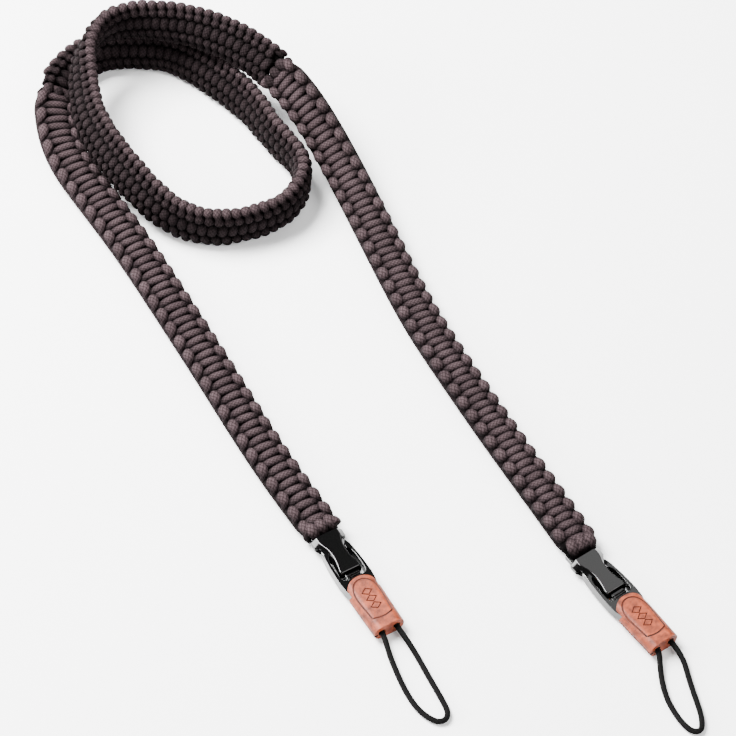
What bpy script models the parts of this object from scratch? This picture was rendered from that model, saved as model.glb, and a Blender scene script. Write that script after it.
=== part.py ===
# Camera neck strap of knotted paracord, lying on a level surface.
# The neck part is coiled one and a half turns at +Y, standing on its edge.
# Two flat legs run towards -Y, each to a side-release buckle, a leather sleeve and a cord loop.
# Metres, +Z up. The origin is on the surface, under the middle of the strap.

import bpy
import bmesh
import numpy as np

# Gap kept between pieces that touch, and the spacing at which curves are read
gap = 0.0003
curve_step = 0.0005

# Woven band: the neck part and the two legs
neck_width = 0.0202
neck_thickness = 0.0088
neck_corner = 0.0032
neck_edge_depth = 0.0008
stitch_pitch = 0.0045
right_leg_width = 0.0204
right_end_width = 0.0172
left_leg_width = 0.0214
left_end_width = 0.0182
leg_thickness = 0.0092
leg_corner = 0.0040
leg_edge_depth = 0.0014
lobe_pitch = 0.0090

# How the band lies: the coil's size and place, each leg's length, and its bearing from +X in degrees
coil_radius = 0.056
coil_across = -0.082
coil_deep = 0.134
right_leg_run = 0.2765
right_leg_bearing = -62.7
left_leg_run = 0.2545
left_leg_bearing = -60.1
right_braid_length = 0.2960
neck_braid_length = 0.4880

# Buckles, each 30 mm long when closed
right_buckle_bearing = -54.5
left_buckle_bearing = -60.0
socket_length = 0.0234
socket_collar_width = 0.0155
socket_waist_width = 0.0100
socket_thickness = 0.0064
bar_width = 0.0132
bar_reach = 0.0050
bar_breadth = 0.0016
bar_thickness = 0.0026
mouth_wall = 0.0012
mouth_depth = 0.0110
slit_width = 0.0010
arm_width = 0.0015
arm_thickness = 0.0044
head_bulge = 0.0006
head_length = 0.0044
tongue_play = 0.0004
plug_base_length = 0.0110
edge_radius = 0.0004

# Leather sleeves, folded round the plug's base and glued round the cord
sleeve_start = 0.0277
sleeve_length = 0.0278
sleeve_width = 0.0154
sleeve_end_width = 0.0130
sleeve_thickness = 0.0080
sleeve_wall = 0.0014
sleeve_arch = 0.0078
sleeve_seam = 0.0012
sleeve_glued_length = 0.0095

# Cord loops that tie to a camera's lugs
loop_cord = 0.0020
loop_bore = 0.0036
loop_spacing = 0.0072
left_loop_reach = 0.0488
right_loop_reach = 0.0400
loop_inset = 0.0080
loop_clearance = 0.00005
loop_step = 0.0036

# Rows of the coil, from the end of the right leg to the start of the left one.
# across, deep: shares of coil_radius from the coil's middle.
# lift: height over the surface, as a share of neck_width, of the band's lowest edge.
# lean: degrees that the band's upper edge leans outwards from upright.
coil_rows = (
    # across, deep, lift, lean
    (0.91, 0.142, 0.80, 54),
    (0.585, 0.525, 1.00, 42),
    (0.07, 0.88, 1.04, 30),
    (-0.42, 1.00, 1.04, 14),
    (-0.80, 0.94, 1.00, -8),
    (-0.97, 0.70, 0.88, -24),
    (-0.98, 0.38, 0.70, -34),
    (-0.92, 0.06, 0.57, -36),
    (-0.745, -0.305, 0.49, -34),
    (-0.455, -0.70, 0.36, -27),
    (-0.13, -0.97, 0.10, -14),
    (0.22, -1.05, 0.01, -4),
    (0.51, -0.985, 0.0, 0),
    (0.76, -0.84, 0.0, 1),
    (0.89, -0.62, 0.0, 3),
    (0.90, -0.40, 0.0, 6),
    (0.695, -0.06, 0.0, 10),
    (0.48, 0.295, 0.0, 20),
    (0.09, 0.735, 0.0, 32),
    (-0.33, 1.00, 0.0, 28),
    (-0.60, 1.02, 0.0, 24),
    (-0.84, 1.00, 0.0, 24),
    (-1.08, 0.84, 0.0, 38),
    (-1.23, 0.57, 0.01, 60),
    (-1.225, 0.22, 0.02, 78),
    (-1.115, -0.15, 0.02, 88),
)

# Rows of the legs, from the coil outwards.
# run, aside: shares of the leg's run, along its bearing and to the left of it.
# lift: height of the band's underside, as a share of leg_thickness; lean as above.
right_leg_rows = (
    # run, aside, lift, lean
    (0.10, 0.009, 0.80, 62),
    (0.232, 0.004, 0.30, 80),
    (0.353, -0.006, 0.06, 90),
    (0.47, -0.0155, 0.0, 90),
    (0.60, -0.0175, 0.0, 90),
    (0.74, -0.016, 0.0, 90),
    (0.88, -0.012, 0.0, 90),
    (1.0, -0.009, 0.0, 90),
)
left_leg_rows = (
    # run, aside, lift, lean
    (0.10, -0.001, 0.0, 90),
    (0.25, 0.004, 0.0, 90),
    (0.42, 0.002, 0.0, 90),
    (0.60, -0.003, 0.0, 90),
    (0.83, -0.0095, 0.0, 90),
    (1.0, -0.005, 0.0, 90),
)

# Routes of the two cord loops between the sleeve's holes, in their buckle's own axes.
# along: share of the loop's reach beyond the sleeve; across: share of it, to the left of the bearing.
# high: 0 where the cord rests on the surface and 1 at the holes' height.
left_loop_rows = (
    # along, across, high
    (0.195, -0.115, 0.32),
    (0.369, -0.148, 0.0),
    (0.533, -0.174, 0.0),
    (0.680, -0.184, 0.0),
    (0.816, -0.174, 0.0),
    (0.922, -0.139, 0.0),
    (0.990, -0.088, 0.0),
    (1.0, -0.029, 0.0),
    (0.953, 0.020, 0.0),
    (0.891, 0.037, 0.0),
    (0.758, 0.051, 0.0),
    (0.584, 0.064, 0.0),
    (0.369, 0.082, 0.0),
    (0.195, 0.086, 0.36),
)
right_loop_rows = (
    # along, across, high
    (0.1375, -0.16, 0.32),
    (0.25, -0.2325, 0.0),
    (0.375, -0.3025, 0.0),
    (0.50, -0.355, 0.0),
    (0.6325, -0.39, 0.0),
    (0.7725, -0.41, 0.0),
    (0.8875, -0.4075, 0.0),
    (0.975, -0.375, 0.0),
    (1.0, -0.32, 0.0),
    (0.965, -0.2675, 0.0),
    (0.8725, -0.2025, 0.0),
    (0.7725, -0.155, 0.0),
    (0.5925, -0.08, 0.0),
    (0.385, 0.0125, 0.0),
    (0.2225, 0.075, 0.36),
)


def material(name, colour, roughness):
    made = bpy.data.materials.new(name)
    made.use_nodes = True
    shader = made.node_tree.nodes["Principled BSDF"]
    shader.inputs["Base Color"].default_value = (*colour, 1.0)
    shader.inputs["Roughness"].default_value = roughness
    shader.inputs["Metallic"].default_value = 0.0
    made.diffuse_color = (*colour, 1.0)
    return made


def new_object(name, mesh, made_of):
    mesh.materials.append(made_of)
    obj = bpy.data.objects.new(name, mesh)
    bpy.context.scene.collection.objects.link(obj)
    return obj


def smooth_shading(obj):
    obj.data.shade_smooth()
    obj.data.set_sharp_from_angle(angle=np.radians(40))


def smooth_curve(rows):
    """A natural cubic spline through the rows, as a function of the distance along them, and its length."""
    rows = np.asarray(rows, float)
    knots = np.r_[0, np.cumsum(np.linalg.norm(np.diff(rows[:, :3], axis=0), axis=1))]
    spans = np.diff(knots)
    last = len(rows) - 1
    system = np.zeros((last + 1, last + 1))
    right_side = np.zeros(rows.shape)
    system[0, 0] = 1
    system[last, last] = 1
    for i in range(1, last):
        before, after = spans[i - 1], spans[i]
        system[i, i - 1 : i + 2] = before, 2 * (before + after), after
        slope_after = (rows[i + 1] - rows[i]) / after
        slope_before = (rows[i] - rows[i - 1]) / before
        right_side[i] = 6 * (slope_after - slope_before)
    bend = np.linalg.solve(system, right_side)

    def at(distance):
        i = np.clip(np.searchsorted(knots, distance) - 1, 0, last - 1)
        span = spans[i][:, None]
        to_next = (knots[i + 1] - distance)[:, None]
        from_last = (distance - knots[i])[:, None]
        cubic = (bend[i] * to_next**3 + bend[i + 1] * from_last**3) / (6 * span)
        straight = (rows[i] / span - bend[i] * span / 6) * to_next
        return cubic + straight + (rows[i + 1] / span - bend[i + 1] * span / 6) * from_last

    return at, knots[-1]


def even_points(rows, step):
    """Points of the smooth curve through the rows, about a step apart, and their distances along it."""
    at, length = smooth_curve(rows)
    fine = at(np.linspace(0, length, int(20 * length / step)))
    arc = np.r_[0, np.cumsum(np.linalg.norm(np.diff(fine[:, :3], axis=0), axis=1))]
    along = np.linspace(0, arc[-1], int(round(arc[-1] / step)) + 1)
    return np.stack([np.interp(along, arc, column) for column in fine.T], -1), along


def rest_height(width, thickness, corner, lean):
    """How high a leaning band's middle is when its round lower corner rests on the surface."""
    turn = np.radians(lean)
    upright = (width / 2 - corner) * abs(np.cos(turn))
    return upright + (thickness / 2 - corner) * abs(np.sin(turn)) + corner


def leg_points(start, rows, run, bearing, width):
    turn = np.radians(bearing)
    ahead = np.array([np.cos(turn), np.sin(turn)])
    leftward = np.array([-np.sin(turn), np.cos(turn)])
    points = []
    for along, aside, lift, lean in rows:
        x, y = start + run * (along * ahead + aside * leftward)
        rest = rest_height(width, leg_thickness, leg_corner, lean)
        points.append((x, y, lift * leg_thickness + rest, lean))
    return points


def band_route():
    """Rows of x, y, z and lean down the band's middle, from the right leg's end to the left one's."""
    coil = [
        (
            coil_across + across * coil_radius,
            coil_deep + deep * coil_radius,
            lift * neck_width + rest_height(neck_width + neck_edge_depth, neck_thickness, neck_corner, lean),
            lean,
        )
        for across, deep, lift, lean in coil_rows
    ]
    right = leg_points(
        np.array(coil[0][:2]), right_leg_rows, right_leg_run, right_leg_bearing, right_leg_width
    )
    left = leg_points(
        np.array(coil[-1][:2]), left_leg_rows, left_leg_run, left_leg_bearing, left_leg_width
    )
    return right[::-1] + coil + left


def band_frames(begin, end, step):
    """Middle points of the band between two distances along it, with the directions of its width and thickness."""
    points, along = even_points(band_route(), curve_step)
    stations = np.linspace(begin, min(end, along[-1]), int(round((min(end, along[-1]) - begin) / step)) + 1)
    tangents = np.gradient(points[:, :3], along, axis=0)
    rows = np.hstack([points, tangents])
    rows = np.stack([np.interp(stations, along, column) for column in rows.T], -1)
    centre, lean, tangent = rows[:, :3], np.radians(rows[:, 3:4]), rows[:, 4:]
    tangent = tangent / np.linalg.norm(tangent, axis=1)[:, None]
    outward = np.stack([tangent[:, 1], -tangent[:, 0], np.zeros(len(tangent))], -1)
    outward /= np.linalg.norm(outward, axis=1)[:, None]
    across = np.cos(lean) * np.array([0, 0, 1.0]) + np.sin(lean) * outward
    across -= (across * tangent).sum(1)[:, None] * tangent
    across /= np.linalg.norm(across, axis=1)[:, None]
    return stations, centre, across, np.cross(across, tangent)


def band_section(upper, lower, thickness, corner):
    """A flat band's outline with round corners: offsets across it and through it, from its middle."""
    flat = thickness / 2 - corner
    bend = corner * np.sqrt(0.5)
    quarter = ((corner, 0.0), (bend, bend), (0.0, corner))
    upper_front = [(upper - corner + out, flat + face) for out, face in quarter]
    lower_front = [(-(lower - corner + out), flat + face) for out, face in reversed(quarter)]
    lower_back = [(out, -face) for out, face in reversed(lower_front)]
    upper_back = [(out, -face) for out, face in reversed(upper_front)]
    return upper_front + lower_front + lower_back + upper_back


def make_band(name, begin, end, widths, thickness, corner, pitch, depth, alternate, made_of):
    """One solid along the band, with an edge that swells at each knot, on both sides at once or by turns."""
    stations, centre, across, through = band_frames(begin, end, pitch / 2)
    half = np.interp(stations, (begin, end), widths) / 2
    mesh = bmesh.new()
    rings = []
    for i in range(len(stations)):
        swell = depth / 2 * (-1) ** i
        upper = half[i] + swell
        lower = half[i] - swell if alternate else half[i] + swell
        ring = [
            mesh.verts.new(centre[i] + v * across[i] + w * through[i])
            for v, w in band_section(upper, lower, thickness, corner)
        ]
        rings.append(ring)
    for ring, following in zip(rings, rings[1:]):
        for j in range(len(ring)):
            k = (j + 1) % len(ring)
            mesh.faces.new((ring[j], ring[k], following[k], following[j]))
    mesh.faces.new(rings[0])
    mesh.faces.new(rings[-1])
    bmesh.ops.recalc_face_normals(mesh, faces=mesh.faces)
    data = bpy.data.meshes.new(name)
    mesh.to_mesh(data)
    mesh.free()
    obj = new_object(name, data, made_of)
    smooth_shading(obj)
    return obj


def mirrored(half):
    """A closed outline from one half of it, given with y above zero, in order."""
    return list(half) + [(x, -y) for x, y in reversed(half) if y > 0]


def extruded(outline, low, high):
    """A closed prism of an outline in x and y, between two heights."""
    mesh = bmesh.new()
    base = mesh.faces.new([mesh.verts.new((x, y, low)) for x, y in outline])
    made = bmesh.ops.extrude_face_region(mesh, geom=[base])
    top = [item for item in made["geom"] if isinstance(item, bmesh.types.BMVert)]
    bmesh.ops.translate(mesh, verts=top, vec=(0, 0, high - low))
    bmesh.ops.recalc_face_normals(mesh, faces=mesh.faces)
    return mesh


def mesh_object(name, mesh, made_of, parent):
    data = bpy.data.meshes.new(name)
    mesh.to_mesh(data)
    mesh.free()
    obj = new_object(name, data, made_of)
    obj.parent = parent
    return obj


def helper(name, mesh, parent):
    """A shape that only cuts or joins another, and isn't part of the strap."""
    data = bpy.data.meshes.new(name)
    mesh.to_mesh(data)
    mesh.free()
    obj = bpy.data.objects.new(name, data)
    bpy.context.scene.collection.objects.link(obj)
    obj.parent = parent
    obj.hide_render = True
    obj.display_type = "WIRE"
    return obj


def combine(obj, other, operation):
    modifier = obj.modifiers.new(other.name, "BOOLEAN")
    modifier.operation = operation
    modifier.solver = "EXACT"
    modifier.object = other


def soften(obj, width):
    modifier = obj.modifiers.new("soft edges", "BEVEL")
    modifier.width = width
    modifier.segments = 1
    modifier.limit_method = "ANGLE"
    modifier.angle_limit = np.radians(50)


def bar_outline(play):
    """The U-shaped bar at the socket's rear that the braid's cords are wound round, grown by a play."""
    half = bar_width / 2
    inner = half - bar_breadth
    front = gap + edge_radius + 2 * play
    return [
        (front, half + play),
        (-bar_reach - play, half + play),
        (-bar_reach - play, -half - play),
        (front, -half - play),
        (front, -inner + play),
        (-bar_reach + bar_breadth + play, -inner + play),
        (-bar_reach + bar_breadth + play, inner - play),
        (front, inner - play),
    ]


# Half outline of the socket from above.
# along: share of socket_length; half: 0 at the waist's half width and 1 at the collar's.
socket_outline_rows = (
    # along, half
    (0.0, 1.0),
    (0.17, 1.0),
    (0.215, 0.86),
    (0.255, 0.50),
    (0.295, 0.12),
    (0.35, 0.0),
    (0.955, 0.0),
    (1.0, -0.25),
)


def make_socket(name, parent, made_of):
    waist = socket_waist_width / 2
    spread = (socket_collar_width - socket_waist_width) / 2
    half = [(gap + along * socket_length, waist + share * spread) for along, share in socket_outline_rows]
    socket = mesh_object(
        name, extruded(mirrored(half), -socket_thickness / 2, socket_thickness / 2), made_of, parent
    )
    soften(socket, edge_radius)
    bar = helper(name + "_bar", extruded(bar_outline(0.0), -bar_thickness / 2, bar_thickness / 2), parent)
    combine(socket, bar, "UNION")
    front = gap + socket_length
    mouth_half = waist - mouth_wall
    mouth = [
        (front + gap, mouth_half),
        (front - mouth_depth, mouth_half),
        (front - mouth_depth, -mouth_half),
        (front + gap, -mouth_half),
    ]
    mouth_high = socket_thickness / 2 - mouth_wall
    cutter = helper(name + "_mouth", extruded(mouth, -mouth_high, mouth_high), parent)
    combine(socket, cutter, "DIFFERENCE")
    smooth_shading(socket)
    return socket


def make_plug(name, parent, made_of):
    arm_inner = socket_waist_width / 2 + slit_width
    arm_outer = arm_inner + arm_width
    head = arm_outer + head_bulge
    crotch = gap + socket_length + slit_width + arm_width
    base_half = sleeve_width / 2 - sleeve_wall - gap
    shoulder = sleeve_start + sleeve_arch
    rear = sleeve_start + sleeve_length - sleeve_glued_length - gap
    nose = gap + 0.31 * socket_length
    base_rear_half = base_half - (sleeve_width - sleeve_end_width) / 2
    fork = [
        (crotch, arm_inner - arm_width),
        (crotch - arm_width, arm_inner),
        (nose + head_length, arm_inner),
        (nose + 0.15 * head_length, arm_inner + 0.1 * arm_width),
        (nose, arm_inner + 0.8 * arm_width),
        (nose + 0.25 * head_length, head),
        (nose + head_length, head),
        (nose + 1.3 * head_length, arm_outer),
        (shoulder - 2 * arm_width, arm_outer),
        (shoulder - gap, base_half),
        (rear - plug_base_length / 2, base_rear_half),
        (rear, base_rear_half),
    ]
    plug = mesh_object(name, extruded(mirrored(fork), -arm_thickness / 2, arm_thickness / 2), made_of, parent)
    soften(plug, edge_radius)
    tongue_half = socket_waist_width / 2 - mouth_wall - tongue_play
    tongue_high = socket_thickness / 2 - mouth_wall - tongue_play
    tip = gap + socket_length - mouth_depth + tongue_play
    tongue = [
        (crotch + arm_width, tongue_half),
        (tip + tongue_half / 2, tongue_half),
        (tip, tongue_half / 2),
        (tip, -tongue_half / 2),
        (tip + tongue_half / 2, -tongue_half),
        (crotch + arm_width, -tongue_half),
    ]
    joined = helper(name + "_tongue", extruded(tongue, -tongue_high, tongue_high), parent)
    combine(plug, joined, "UNION")
    smooth_shading(plug)
    return plug


def sleeve_section(half, thickness):
    """The sleeve's outline across: flat above and below, with the leather folded round each side."""
    radius = thickness / 2
    points = []
    for side in (1, -1):
        for turn in np.linspace(90, -90, 7) * side:
            bend = np.radians(turn)
            points.append((side * (half - radius + radius * np.cos(bend)), radius * np.sin(bend)))
    return points


def sleeve_body():
    mesh = bmesh.new()
    rings = []
    wide = sleeve_start + sleeve_arch
    far = sleeve_start + sleeve_length
    for along, width in ((sleeve_start, sleeve_width), (wide, sleeve_width), (far, sleeve_end_width)):
        section = sleeve_section(width / 2, sleeve_thickness)
        rings.append([mesh.verts.new((along, across, high)) for across, high in section])
    for ring, following in zip(rings, rings[1:]):
        for j in range(len(ring)):
            k = (j + 1) % len(ring)
            mesh.faces.new((ring[j], ring[k], following[k], following[j]))
    mesh.faces.new(rings[0])
    mesh.faces.new(rings[-1])
    bmesh.ops.recalc_face_normals(mesh, faces=mesh.faces)
    return mesh


def arch_outline():
    """What is cut away at the sleeve's upper end, so that its edge is an arch."""
    half = sleeve_width / 2 + gap
    arc = []
    for turn in np.linspace(-90, 90, 13):
        bend = np.radians(turn)
        arc.append((sleeve_start + sleeve_arch * (1 - np.cos(bend)), half * np.sin(bend)))
    back = sleeve_start - sleeve_wall
    return [(back, -half - gap), *arc, (back, half + gap)]


def hollow_outline():
    """The space inside the sleeve, open to both sides up to the arch's shoulders."""
    inner = sleeve_width / 2 - sleeve_wall
    end_inner = sleeve_end_width / 2 - sleeve_wall
    shoulder = sleeve_start + sleeve_arch
    front = sleeve_start + sleeve_length - sleeve_glued_length
    half = [
        (sleeve_start - sleeve_wall, sleeve_width),
        (shoulder - sleeve_wall, sleeve_width),
        (shoulder, inner),
        (front, end_inner),
    ]
    return mirrored(half)


def round_bore(length, radius, sides):
    mesh = bmesh.new()
    bmesh.ops.create_cone(
        mesh, cap_ends=True, segments=sides, radius1=radius, radius2=radius, depth=length
    )
    return mesh


def make_sleeve(name, parent, made_of):
    sleeve = mesh_object(name, sleeve_body(), made_of, parent)
    high = sleeve_thickness / 2 + gap
    combine(sleeve, helper(name + "_arch", extruded(arch_outline(), -high, high), parent), "DIFFERENCE")
    hollow_high = sleeve_thickness / 2 - sleeve_wall
    hollow = helper(name + "_hollow", extruded(hollow_outline(), -hollow_high, hollow_high), parent)
    combine(sleeve, hollow, "DIFFERENCE")
    far = sleeve_start + sleeve_length
    bore_length = sleeve_glued_length + 2 * sleeve_wall
    for side in (-1, 1):
        bore = helper(f"{name}_bore_{side + 1}", round_bore(bore_length, loop_bore / 2, 16), parent)
        bore.rotation_euler = (0, np.pi / 2, 0)
        bore.location = (far - sleeve_glued_length / 2, side * loop_spacing / 2, 0)
        combine(sleeve, bore, "DIFFERENCE")
    inner = -(sleeve_end_width / 2 - sleeve_wall - gap)
    seam = [
        (sleeve_start, -sleeve_width),
        (far + sleeve_wall, -sleeve_width),
        (far + sleeve_wall, inner),
        (sleeve_start, inner),
    ]
    cut = helper(name + "_seam", extruded(seam, -sleeve_seam / 2, sleeve_seam / 2), parent)
    combine(sleeve, cut, "DIFFERENCE")
    smooth_shading(sleeve)
    return sleeve


def loop_route(rows, reach):
    """Points of a loop from inside one of the sleeve's holes round to the other, in the buckle's axes."""
    leaves = sleeve_start + sleeve_length
    holes = sleeve_thickness / 2
    rest = loop_cord / 2 + loop_clearance
    half = loop_spacing / 2
    free = [
        (leaves + along * reach, across * reach, rest + high * (holes - rest))
        for along, across, high in rows
    ]
    inside = (leaves - loop_inset, leaves + gap)
    first = [(along, -half, holes) for along in inside]
    return first + free + [(along, half, holes) for along in reversed(inside)]


def make_loop(name, route, parent, made_of):
    points, _ = even_points(route, loop_step)
    data = bpy.data.curves.new(name, "CURVE")
    data.dimensions = "3D"
    data.bevel_depth = loop_cord / 2
    data.bevel_resolution = 2
    data.use_fill_caps = True
    data.render_resolution_u = 0
    spline = data.splines.new("POLY")
    spline.points.add(len(points) - 1)
    for point, (along, across, high) in zip(spline.points, points):
        point.co = (along, across, high - sleeve_thickness / 2, 1.0)
    loop = new_object(name, data, made_of)
    loop.parent = parent
    return loop


def make_end(side, place, bearing, route, black_plastic, leather, cord):
    """The buckle, sleeve and loop at one end of the band, and what the braid loses there to the buckle."""
    end = bpy.data.objects.new(side + "_end", None)
    bpy.context.scene.collection.objects.link(end)
    end.location = (place[0], place[1], sleeve_thickness / 2)
    end.rotation_euler = (0, 0, np.radians(bearing))
    made = [
        make_socket(side + "_buckle_socket", end, black_plastic),
        make_plug(side + "_buckle_plug", end, black_plastic),
        make_sleeve(side + "_leather_sleeve", end, leather),
    ]
    make_loop(side + "_cord_loop", route, end, cord)
    pocket_high = bar_thickness / 2 + gap
    pocket = helper(side + "_bar_pocket", extruded(bar_outline(gap), -pocket_high, pocket_high), end)
    beyond = [(0, left_leg_width), (leg_thickness, left_leg_width)]
    trim = helper(side + "_end_trim", extruded(mirrored(beyond), -leg_thickness, leg_thickness), end)
    return end, made, (pocket, trim)


def stand_at_origin(measured, tops):
    """Moves the strap so that its box's lowest face is at z = 0 and centred on the origin."""
    bpy.context.view_layer.update()
    graph = bpy.context.evaluated_depsgraph_get()
    corners = []
    for obj in measured:
        shown = obj.evaluated_get(graph)
        mesh = shown.to_mesh()
        points = np.empty(3 * len(mesh.vertices))
        mesh.vertices.foreach_get("co", points)
        placed = np.array(shown.matrix_world)
        corners.append(points.reshape(-1, 3) @ placed[:3, :3].T + placed[:3, 3])
        shown.to_mesh_clear()
    corners = np.vstack(corners)
    low, high = corners.min(0), corners.max(0)
    for obj in tops:
        obj.location.x -= (low[0] + high[0]) / 2
        obj.location.y -= (low[1] + high[1]) / 2
        obj.location.z -= low[2]


def main():
    for obj in list(bpy.data.objects):
        bpy.data.objects.remove(obj)
    paracord = material("charcoal paracord", (0.075, 0.060, 0.062), 0.85)
    black_plastic = material("glossy black plastic", (0.012, 0.012, 0.013), 0.2)
    leather = material("tan leather", (0.58, 0.24, 0.16), 0.55)
    loop_black = material("black cord", (0.012, 0.012, 0.012), 0.6)

    points, along = even_points(band_route(), curve_step)
    neck_start = right_braid_length + gap
    left_start = neck_start + neck_braid_length + gap
    braids = [
        make_band(
            "right_leg_braid", 0.0, right_braid_length, (right_end_width, right_leg_width),
            leg_thickness, leg_corner, lobe_pitch, leg_edge_depth, True, paracord,
        ),
        make_band(
            "neck_braid", neck_start, neck_start + neck_braid_length, (neck_width, neck_width),
            neck_thickness, neck_corner, stitch_pitch, neck_edge_depth, False, paracord,
        ),
        make_band(
            "left_leg_braid", left_start, along[-1], (left_leg_width, left_end_width),
            leg_thickness, leg_corner, lobe_pitch, leg_edge_depth, True, paracord,
        ),
    ]
    right_end, right_made, right_cuts = make_end(
        "right", points[0], right_buckle_bearing, loop_route(right_loop_rows, right_loop_reach),
        black_plastic, leather, loop_black,
    )
    left_end, left_made, left_cuts = make_end(
        "left", points[-1], left_buckle_bearing, loop_route(left_loop_rows, left_loop_reach),
        black_plastic, leather, loop_black,
    )
    for braid, cuts in ((braids[0], right_cuts), (braids[2], left_cuts)):
        for cut in cuts:
            combine(braid, cut, "DIFFERENCE")
    stand_at_origin(braids + right_made + left_made, braids + [right_end, left_end])


main()
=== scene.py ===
# Camera neck strap of knotted paracord: the look of the real thing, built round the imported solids
import bpy
import numpy as np
from math import cos, pi, radians, sin
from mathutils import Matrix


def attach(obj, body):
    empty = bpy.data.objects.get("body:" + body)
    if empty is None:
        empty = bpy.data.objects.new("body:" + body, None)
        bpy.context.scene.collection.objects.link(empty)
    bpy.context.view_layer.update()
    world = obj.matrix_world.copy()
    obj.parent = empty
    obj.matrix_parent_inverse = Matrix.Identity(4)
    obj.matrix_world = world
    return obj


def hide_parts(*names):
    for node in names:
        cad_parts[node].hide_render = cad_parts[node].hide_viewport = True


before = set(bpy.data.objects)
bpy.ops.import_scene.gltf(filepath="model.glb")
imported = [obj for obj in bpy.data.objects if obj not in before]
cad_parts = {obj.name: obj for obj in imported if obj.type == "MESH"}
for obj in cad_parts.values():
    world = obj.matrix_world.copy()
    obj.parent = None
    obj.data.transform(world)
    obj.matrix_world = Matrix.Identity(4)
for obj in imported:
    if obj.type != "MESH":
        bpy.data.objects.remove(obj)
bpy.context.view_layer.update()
mm = 0.001
print("stage: solids loaded")

# The way the strap lies, as the solids have it

strapLay = {
    "place": (0.015756, -0.022263, 0.000038),  # the strap's own zero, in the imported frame
    "neckWidth": 0.0202, "neckThickness": 0.0088, "neckCorner": 0.0032, "neckEdge": 0.0008,
    "legThickness": 0.0092, "legCorner": 0.0040,
    "rightLegWidth": 0.0204, "rightEndWidth": 0.0172, "leftLegWidth": 0.0214, "leftEndWidth": 0.0182,
    "coilRadius": 0.056, "coilAcross": -0.082, "coilDeep": 0.134,
    "rightLegRun": 0.2765, "rightLegBearing": -62.7,
    "leftLegRun": 0.2545, "leftLegBearing": -60.1,
    "rightBraid": 0.2960, "neckBraid": 0.4880,
    # coil: across, deep, lift, lean
    "coilRows": (
        (0.91, 0.142, 0.80, 54), (0.585, 0.525, 1.00, 42), (0.07, 0.88, 1.04, 30),
        (-0.42, 1.00, 1.04, 14), (-0.80, 0.94, 1.00, -8), (-0.97, 0.70, 0.88, -24),
        (-0.98, 0.38, 0.70, -34), (-0.92, 0.06, 0.57, -36), (-0.745, -0.305, 0.49, -34),
        (-0.455, -0.70, 0.36, -27), (-0.13, -0.97, 0.10, -14), (0.22, -1.05, 0.01, -4),
        (0.51, -0.985, 0.0, 0), (0.76, -0.84, 0.0, 1), (0.89, -0.62, 0.0, 3), (0.90, -0.40, 0.0, 6),
        (0.695, -0.06, 0.0, 10), (0.48, 0.295, 0.0, 20), (0.09, 0.735, 0.0, 32),
        (-0.33, 1.00, 0.0, 28), (-0.60, 1.02, 0.0, 24), (-0.84, 1.00, 0.0, 24),
        (-1.08, 0.84, 0.0, 38), (-1.23, 0.57, 0.01, 60), (-1.225, 0.22, 0.02, 78),
        (-1.115, -0.15, 0.02, 88),
    ),
    # legs: run, aside, lift, lean
    "rightLegRows": (
        (0.10, 0.009, 0.80, 62), (0.232, 0.004, 0.30, 80), (0.353, -0.006, 0.06, 90),
        (0.47, -0.0155, 0.0, 90), (0.60, -0.0175, 0.0, 90), (0.74, -0.016, 0.0, 90),
        (0.88, -0.012, 0.0, 90), (1.0, -0.009, 0.0, 90),
    ),
    "leftLegRows": (
        (0.10, -0.001, 0.0, 90), (0.25, 0.004, 0.0, 90), (0.42, 0.002, 0.0, 90),
        (0.60, -0.003, 0.0, 90), (0.83, -0.0095, 0.0, 90), (1.0, -0.005, 0.0, 90),
    ),
}

# Camera

cameraPlan = {"aim": (0.015756, -0.022263, 0.000038), "distance": 1.365, "rise": 52.0, "lens": 146.7}


def addCamera(plan):
    data = bpy.data.cameras.new("camera")
    data.lens = plan["lens"]
    data.sensor_width = 36.0
    data.clip_end = 20.0
    camera = bpy.data.objects.new("camera", data)
    bpy.context.scene.collection.objects.link(camera)
    rise = radians(plan["rise"])
    aim = plan["aim"]
    camera.location = (aim[0], aim[1] - plan["distance"] * cos(rise), aim[2] + plan["distance"] * sin(rise))
    camera.rotation_euler = (pi / 2 - rise, 0, 0)
    bpy.context.scene.camera = camera


addCamera(cameraPlan)
print("stage: camera")

# Curves and the band's run


def smoothCurve(rows):
    # natural cubic spline through the rows, by the distance along them
    rows = np.asarray(rows, float)
    knots = np.r_[0, np.cumsum(np.linalg.norm(np.diff(rows[:, :3], axis=0), axis=1))]
    spans = np.diff(knots)
    last = len(rows) - 1
    system = np.zeros((last + 1, last + 1))
    rightSide = np.zeros(rows.shape)
    system[0, 0] = system[last, last] = 1
    for i in range(1, last):
        before, after = spans[i - 1], spans[i]
        system[i, i - 1:i + 2] = before, 2 * (before + after), after
        rightSide[i] = 6 * ((rows[i + 1] - rows[i]) / after - (rows[i] - rows[i - 1]) / before)
    bend = np.linalg.solve(system, rightSide)

    def at(distance):
        i = np.clip(np.searchsorted(knots, distance) - 1, 0, last - 1)
        span = spans[i][:, None]
        toNext = (knots[i + 1] - distance)[:, None]
        fromLast = (distance - knots[i])[:, None]
        cubic = (bend[i] * toNext**3 + bend[i + 1] * fromLast**3) / (6 * span)
        straight = (rows[i] / span - bend[i] * span / 6) * toNext
        return cubic + straight + (rows[i + 1] / span - bend[i + 1] * span / 6) * fromLast

    return at, knots[-1]


def evenPoints(rows, step, fineness=20):
    at, length = smoothCurve(rows)
    fine = at(np.linspace(0, length, int(fineness * length / step)))
    arc = np.r_[0, np.cumsum(np.linalg.norm(np.diff(fine[:, :3], axis=0), axis=1))]
    along = np.linspace(0, arc[-1], int(round(arc[-1] / step)) + 1)
    return np.stack([np.interp(along, arc, column) for column in fine.T], -1), along


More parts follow.
